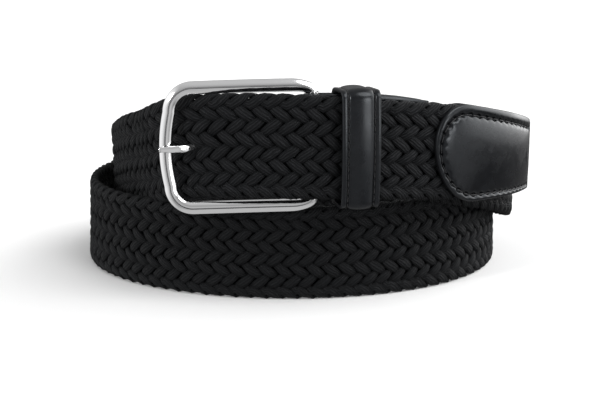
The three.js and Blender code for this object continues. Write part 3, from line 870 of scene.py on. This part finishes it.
def keeper_loop():
    """Padded loop with a row of stitches along each border."""
    shape, threads = Shape(), Shape()
    place, section = keeper_frame(), keeper_section()
    path, outs = keeper_path()
    closed, closed_outs = (np.concatenate([rows, rows[:1]]) for rows in (path, outs))
    run = runs(closed)
    holes = holes_along(run, KEEPER_STITCH_PITCH)
    deep = pits(np.abs(run[:-1, None] - holes[None]).min(1))
    bow = KEEPER_BOW * np.cos(np.clip((path[:, 0] - path[:, 0].mean()) / KEEPER_BOW_REACH, -1, 1) * np.pi / 2)
    rings = []
    for spot, out, pit, swell in zip(path, outs, deep, bow):
        ring = []
        for along, lift, _ in section:
            sewn = abs(abs(along) - KEEPER_STITCH_LINE) < 0.1
            wide = spot + out * (lift - pit * sewn + (swell if lift > 0 else 0))
            ring.append(in_frame(place, along, *wide))
        rings.append(ring)
    shape.loft(rings, round_=True, look=[row[2] for row in section])
    shape.piece("keeper_leather", "smooth_leather", [LEATHER_LOOK, EDGE_LOOK], ["keeper_loop"])
    thread = closed + closed_outs * (KEEPER_THREAD_AT + np.append(bow, bow[0]))[:, None]
    for line in (-KEEPER_STITCH_LINE, KEEPER_STITCH_LINE):
        along = np.full(len(thread), line)
        points = in_frame(place, along, *thread.T)
        above = in_frame(place, along, *(thread + closed_outs).T)
        stitch_row(threads, points, above - points, KEEPER_STITCH_PITCH)
    threads.piece("keeper_stitches", "smooth_leather", [THREAD_LOOK])


# Leather tab
def tab_faces(in_slot, count):
    """Faces between rows of count points, apart from those that the slot takes out of their middle."""
    faces = []
    for i in range(len(in_slot) - 1):
        for j in range(count - 1):
            if in_slot[i] and in_slot[i + 1] and j in (count // 2 - 1, count // 2):
                continue
            faces.append((i * count + j, i * count + j + 1, (i + 1) * count + j + 1, (i + 1) * count + j))
    return faces


def leather_tab():
    """Leather folded round the bar and laid over both faces of the strap's end, slotted for the prong."""
    middle = STRAP_THICK / 2 + GAP + LEATHER / 2
    start = float(np.interp(TAB_END_ANGLE, KNOTS, LENGTHS))
    slot_from = BAR_LENGTH - TAB_SLOT["after"]
    flat = np.append(np.linspace(start, slot_from, TAB_COUNTS["flat"]), BAR_LENGTH - TAB_FOLD)
    below = np.linspace(0, STRAP_WIDTH / 2 - TAB_SLOT["half_height"], TAB_COUNTS["height"])
    above = np.linspace(STRAP_WIDTH / 2 + TAB_SLOT["half_height"], STRAP_WIDTH, TAB_COUNTS["height"])
    heights = np.concatenate([below, [STRAP_WIDTH / 2], above])

    def laid(length, highs, proud):
        return on_strap(np.stack([np.full(len(highs), length), highs, np.full(len(highs), proud)], -1))

    rows = [laid(length, heights, middle) for length in flat]
    for turn in np.linspace(0, np.pi, TAB_COUNTS["fold"]):
        rows.append(in_frame(BAR, middle * math.sin(turn), heights, middle * math.cos(turn)))
    rows += [laid(length, heights, -middle) for length in flat[::-1]]
    in_slot = [length > slot_from - 0.01 for length in flat]
    in_slot += [True] * TAB_COUNTS["fold"] + in_slot[::-1]
    faces = tab_faces(in_slot, len(heights))
    mesh = coil_mesh("tab_leather", np.concatenate(rows), faces, [LEATHER_LOOK, EDGE_LOOK])
    tab = dressed("tab_leather", mesh, ["leather_tab"])
    thick = tab.modifiers.new("thickness", "SOLIDIFY")
    thick.thickness, thick.offset, thick.material_offset_rim = LEATHER * MM, 0, 1
    soft = tab.modifiers.new("rounding", "BEVEL")
    soft.width, soft.segments = TAB_ROUNDING["width"] * MM, TAB_ROUNDING["segments"]
    soft.angle_limit = math.radians(TAB_ROUNDING["angle"])
    apply_modifiers(tab)
    threads = Shape()
    reach = middle + LEATHER / 2 - TAB_THREAD_SUNK
    line = start + TAB_STITCH_INSET
    heights = np.linspace(TAB_STITCH_INSET, STRAP_WIDTH - TAB_STITCH_INSET, TAB_COUNTS["stitch_line"])
    for side in (1, -1):
        points = laid(line, heights, side * reach)
        stitch_row(threads, points, laid(line, heights, side * (reach + 1)) - points, TAB_STITCH_PITCH)
    threads.piece("tab_stitches", "smooth_leather", [THREAD_LOOK])


def apply_modifiers(piece):
    """Leaves the piece as the plain mesh that its modifiers make."""
    shown = piece.evaluated_get(bpy.context.evaluated_depsgraph_get())
    mesh = bpy.data.meshes.new_from_object(shown)
    piece.modifiers.clear()
    piece.data = mesh
    smooth(mesh, sharp=40)


# Buckle
def frame_outline(width):
    """The frame's middle line in its own plane: [from the left bar, above the middle]."""
    rail_end = FRAME_HALF - LEFT_CORNER
    left, right = LEFT_BULGE + LEFT_CORNER, width - RIGHT_CORNER[0]
    bar_end = FRAME_HALF - RIGHT_CORNER[1]

    def inner(start, end, count):
        return np.linspace(start, end, FRAME_COUNTS[count])[1:-1]

    def arc(along, above, reach, start, end, count):
        turn = np.radians(np.linspace(start, end, FRAME_COUNTS[count] + 1))
        return np.stack([along + reach[0] * np.cos(turn), above + reach[1] * np.sin(turn)], -1)

    def rail(start, end, above):
        alongs = inner(start, end, "rail")
        return np.stack([alongs, np.full(len(alongs), above)], -1)

    left_bar = inner(-1, 1, "left")
    bar = inner(bar_end, -bar_end, "bar")
    round_left = (LEFT_CORNER, LEFT_CORNER)
    return np.concatenate([
        np.stack([LEFT_BULGE * left_bar**2, left_bar * rail_end], -1),
        arc(left, rail_end, round_left, 180, 90, "left_corner"),
        rail(left, right, FRAME_HALF),
        arc(right, bar_end, RIGHT_CORNER, 90, 0, "right_corner"),
        np.stack([np.full(len(bar), width), bar], -1),
        arc(right, -bar_end, RIGHT_CORNER, 0, -90, "right_corner"),
        rail(right, left, -FRAME_HALF),
        arc(left, -rail_end, round_left, -90, -180, "left_corner"),
    ])


# The rail's section, as shares of half its width and half its depth: [outward, towards the front]
RAIL_BEAD = (
    (1, -0.45), (1, 0.02), (0.975, 0.2), (0.9, 0.38), (0.78, 0.54), (0.6, 0.7), (0.4, 0.82), (0.2, 0.88),
)
RAIL_GROOVE = ((0.12, 0.89), (0.03, 0.52), (-0.03, 0.52), (-0.12, 0.89))
RAIL_BEVEL = (
    (-0.18, 0.88), (-0.32, 0.81), (-0.78, 0.47), (-0.91, 0.32), (-0.98, 0.15), (-1, 0), (-1, -0.45),
)
RAIL_BACK = (
    (-0.97, -0.62), (-0.86, -0.8), (-0.6, -0.96), (-0.3, -1), (0, -1), (0.3, -1), (0.6, -0.96), (0.86, -0.8),
    (0.97, -0.62),
)
RAIL_SECTION = np.array(RAIL_BEAD + RAIL_GROOVE + RAIL_BEVEL + RAIL_BACK)
GROOVE_SIDES = range(len(RAIL_BEAD), len(RAIL_BEAD) + len(RAIL_GROOVE) - 1)


def buckle_frame():
    """A rail with a bead, a groove and a bevel, which turns into the round bar of the tab and the prong."""
    bar = in_frame(BAR, 0, STRAP_WIDTH / 2, 0)
    width = bar[0] - LEFT_BAR["x"]
    outline = frame_outline(width)
    share = outline[:, :1] / width
    x = LEFT_BAR["x"] + outline[:, 0]
    bend = 4 * (share * (1 - share))[:, 0]
    y = LEFT_BAR["y"] + (bar[1] - LEFT_BAR["y"]) * share[:, 0] - FRAME_BOW * bend
    z = FRAME_MID["z"] + FRAME_MID["slope"] * (x - FRAME_MID["x"]) + FRAME_ARCH * bend
    upright = BAR["across"] * np.concatenate([share, np.ones((len(share), 2))], 1)
    points = np.stack([x, y, z], -1) + upright * outline[:, 1:]
    along = unit(np.roll(points, -1, 0) - np.roll(points, 1, 0))
    front = unit(np.array([0, -1.0, 0]) + along * along[:, 1:2])
    outward = -np.cross(front, along)
    on_bar = smoothstep(outline[:, 0], width - BAR_MORPH, width)
    round_ = np.where(np.abs(outline[:, 1]) < BAR_SPAN, on_bar, CORNER_ROUND * on_bar)[:, None, None]
    turn = np.arctan2(RAIL_SECTION[:, 1], RAIL_SECTION[:, 0])
    rail = RAIL_SECTION * (RAIL_WIDTH / 2, RAIL_DEPTH / 2)
    rod = BAR_RADIUS * np.stack([np.cos(turn), np.sin(turn)], -1)
    section = rail * (1 - round_) + rod * round_
    rings = points[:, None] + outward[:, None] * section[..., :1] + front[:, None] * section[..., 1:]
    shape = Shape()
    # The faces in the groove take the darker metal of painted shade
    shape.loft(rings, round_=True, look=[int(side in GROOVE_SIDES) for side in range(len(RAIL_SECTION))])
    shape.piece("polished_frame", "polished_metal", [METAL_LOOK, GROOVE_PAINTED_SHADE_LOOK], ["buckle_frame"], sharp=28)


def smooth_route(points, count):
    """A smooth curve through points, with its directions."""
    points = np.array(points, float)
    padded = np.concatenate([[2 * points[0] - points[1]], points, [2 * points[-1] - points[-2]]])
    places = np.linspace(0, len(points) - 1, count)
    i = np.minimum(places.astype(int), len(points) - 2)
    t = (places - i)[:, None]
    a, b, c, d = (padded[i + k] for k in range(4))
    curve = 0.5 * (2 * b + (c - a) * t + (2 * a - 5 * b + 4 * c - d) * t**2 + (3 * b - a - 3 * c + d) * t**3)
    return curve, unit(np.gradient(curve, axis=0))


# The prong's section, as shares of half its height and half its depth: [up, towards the front]
PRONG_SECTION = np.array([
    (1, -0.7), (1, 0.3), (0.96, 0.5), (0.82, 0.72), (0.62, 0.88), (0.45, 0.93), (-0.5, 0.97), (-0.75, 0.93),
    (-0.92, 0.7), (-1, 0.4), (-1, -0.7), (-0.85, -1), (0.85, -1),
])


def buckle_prong():
    """A bar with a bevelled front that narrows to its end, and the eye that turns on the buckle's bar."""
    shape = Shape()
    middle, along = smooth_route(PRONG_ROUTE, PRONG_RINGS)
    share = np.linspace(0, 1, PRONG_RINGS)
    front = -unit(np.cross(along, UP))
    taper = smoothstep(share, PRONG_TAPER_FROM, 1)
    end = 1 - PRONG_ROUNDING["share"] * smoothstep(share, PRONG_ROUNDING["from"], 1)
    half_height = (PRONG_HEIGHT + (PRONG_TIP_HEIGHT - PRONG_HEIGHT) * taper) / 2
    high = UP * half_height[:, None, None] * PRONG_SECTION[:, :1]
    deep = front[:, None] * PRONG_SECTION[:, 1:] * (PRONG_DEPTH / 2 * end)[:, None, None]
    shape.loft(middle[:, None] + high + deep)
    inner = BAR_RADIUS + GAP
    outer = inner + PRONG_EYE_WALL
    half, soft = PRONG_EYE_HEIGHT / 2, PRONG_EYE_BEVEL
    wall = (
        (inner, -half), (outer - soft, -half), (outer, -half + soft),
        (outer, half - soft), (outer - soft, half), (inner, half),
    )
    radius, high = np.array(wall).T
    rings = []
    for turn in np.linspace(0, 2 * np.pi, PRONG_EYE_STEPS, endpoint=False):
        rings.append(in_frame(BAR, radius * math.cos(turn), STRAP_WIDTH / 2 + high, radius * math.sin(turn)))
    shape.loft(rings, round_=True)
    shape.piece("polished_prong", "polished_metal", [METAL_LOOK], ["buckle_prong"], sharp=40)


# Floor, light and camera
CAMERA_AT = (-0.603, -403.3, 107.4)
CAMERA_DOWN = 11.92
CAMERA_LENS = 60.0
SENSOR = 36.0
FLOOR_HALF = 30.0  # metres
LAMPS = (
    {"name": "key", "at": (0.85, -0.75, 1.3), "power": 1.4, "angle": 40},
    {"name": "side", "at": (-0.9, -0.6, 0.35), "power": 1.3, "angle": 10},
)
LIT_AT = (0, 0, 0.04)


def floor():
    """A plain white floor, which throws no light back on the belt."""
    mesh = bpy.data.meshes.new("floor")
    corners = [(x * FLOOR_HALF, y * FLOOR_HALF, 0) for x, y in ((-1, -1), (1, -1), (1, 1), (-1, 1))]
    mesh.from_pydata(corners, [], [(0, 1, 2, 3)])
    look = Looks("floor", Base_Color=(0.9, 0.9, 0.9, 1), Roughness=0.7, Specular_IOR_Level=0.1)
    mesh.materials.append(look.material)
    plane = put("floor", mesh)
    plane.visible_glossy = plane.visible_diffuse = False


def lamp(name, at, power, angle):
    """A distant light from a place towards the belt, which looks angle degrees wide."""
    light = bpy.data.lights.new(name, "SUN")
    light.energy, light.angle = power, math.radians(angle)
    holder = put(name, light)
    holder.location = at
    holder.rotation_euler = (Vector(LIT_AT) - Vector(at)).to_track_quat("-Z", "Y").to_euler()


# The studio round the belt. Each panel of light is its brightness, then the parts of the directions'
# x, y and z over which it comes in, from nothing to full. z_end takes it away again.
PANELS = (
    {"light": 3.6, "x": (0.35, 0.65), "y": (-0.45, -0.1), "z": (-0.13, 0.09), "z_end": (0.75, 0.4)},
    {"light": 0.45, "y": (-0.6, -0.95), "z": (0.35, 0.0)},
    {"light": 0.9, "x": (-0.6, -0.95), "z": (0.85, 0.5)},
    {"light": 0.75, "x": (0.6, 0.85), "y": (-0.1, -0.3), "z": (-0.7, -0.5), "z_end": (0.35, 0.0)},
    {"light": 7.5, "x": (0.48, 0.64), "y": (-0.5, -0.62), "z": (-0.14, 0.03), "z_end": (0.4, 0.15)},
    {"light": 0.40, "z": (-0.5, -0.8)},
    {"light": 1.6, "x": (0.4, 0.6), "z": (0.45, 0.65)},
)
SKY = (0.0, 0.8, 0.15, 0.6)  # from the first height to the second, its light grows from the third to the last


def studio_world():
    world = bpy.data.worlds.new("studio")
    nodes = Nodes(world, "Background")
    parts = nodes.parts(nodes.add("ShaderNodeTexCoord").outputs["Generated"])
    total = nodes.ramp(parts["Z"], *SKY)
    for panel in PANELS:
        share = panel["light"]
        for key in [key for key in panel if key != "light"]:
            share = nodes.times(share, nodes.ramp(parts[key[0].upper()], *panel[key]))
        total = nodes.plus(total, share)
    nodes.wear("Color", total)
    bpy.context.scene.world = world


def lights():
    studio_world()
    for row in LAMPS:
        lamp(**row)


def camera():
    data = bpy.data.cameras.new("camera")
    data.lens, data.sensor_width, data.clip_start = CAMERA_LENS, SENSOR, 0.01
    eye = put("camera", data)
    eye.location = [value * MM for value in CAMERA_AT]
    eye.rotation_euler = (math.radians(90 - CAMERA_DOWN), 0, 0)
    bpy.context.scene.camera = eye


camera()
floor()
lights()
bpy.context.scene.view_settings.view_transform = "Standard"
braid()
leather_tip()
keeper_loop()
leather_tab()
buckle_frame()
buckle_prong()
